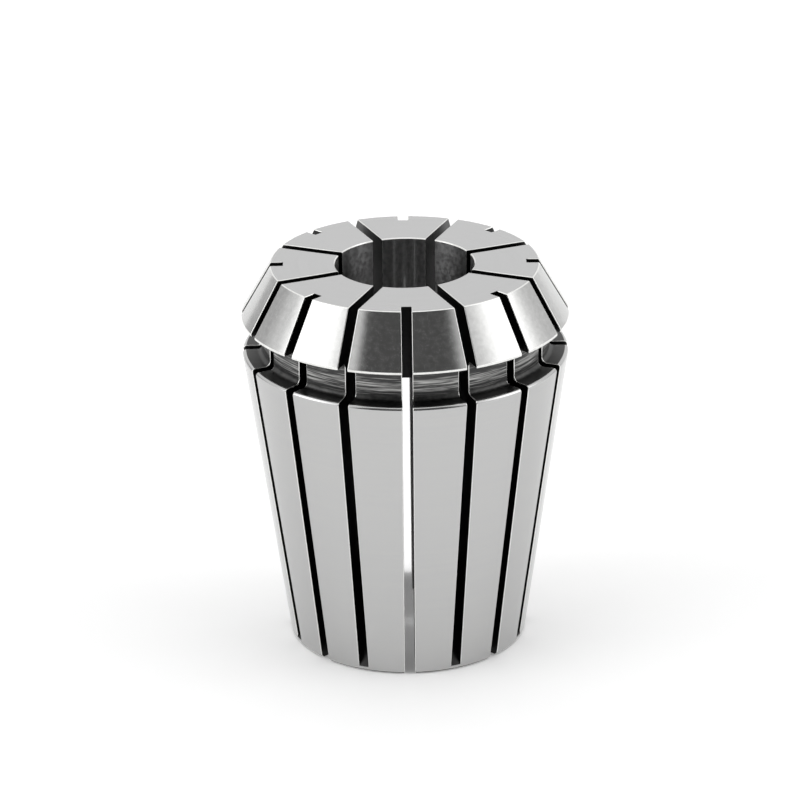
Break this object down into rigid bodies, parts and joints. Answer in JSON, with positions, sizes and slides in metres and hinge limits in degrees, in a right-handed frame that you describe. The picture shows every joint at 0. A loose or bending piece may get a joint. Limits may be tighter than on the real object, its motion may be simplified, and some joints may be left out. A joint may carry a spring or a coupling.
{
  "type": "er collet",
  "caption": "Double-slotted spring collet with a long outer taper, grooved head and conical nose, for gripping a round shank.",
  "frame": {"origin": "centre of the small rear face, on the surface that the collet stands on", "axes": "+Z along the axis from the rear face to the nose; -Y through the middle of a slot that is open at the rear face"},
  "size_m": [0.033, 0.033, 0.04],
  "materials": {
    "ground_steel": "ground and polished"
  },
  "bodies": {
    "root": {"collet": "ground_steel"}
  },
  "joints": []
}
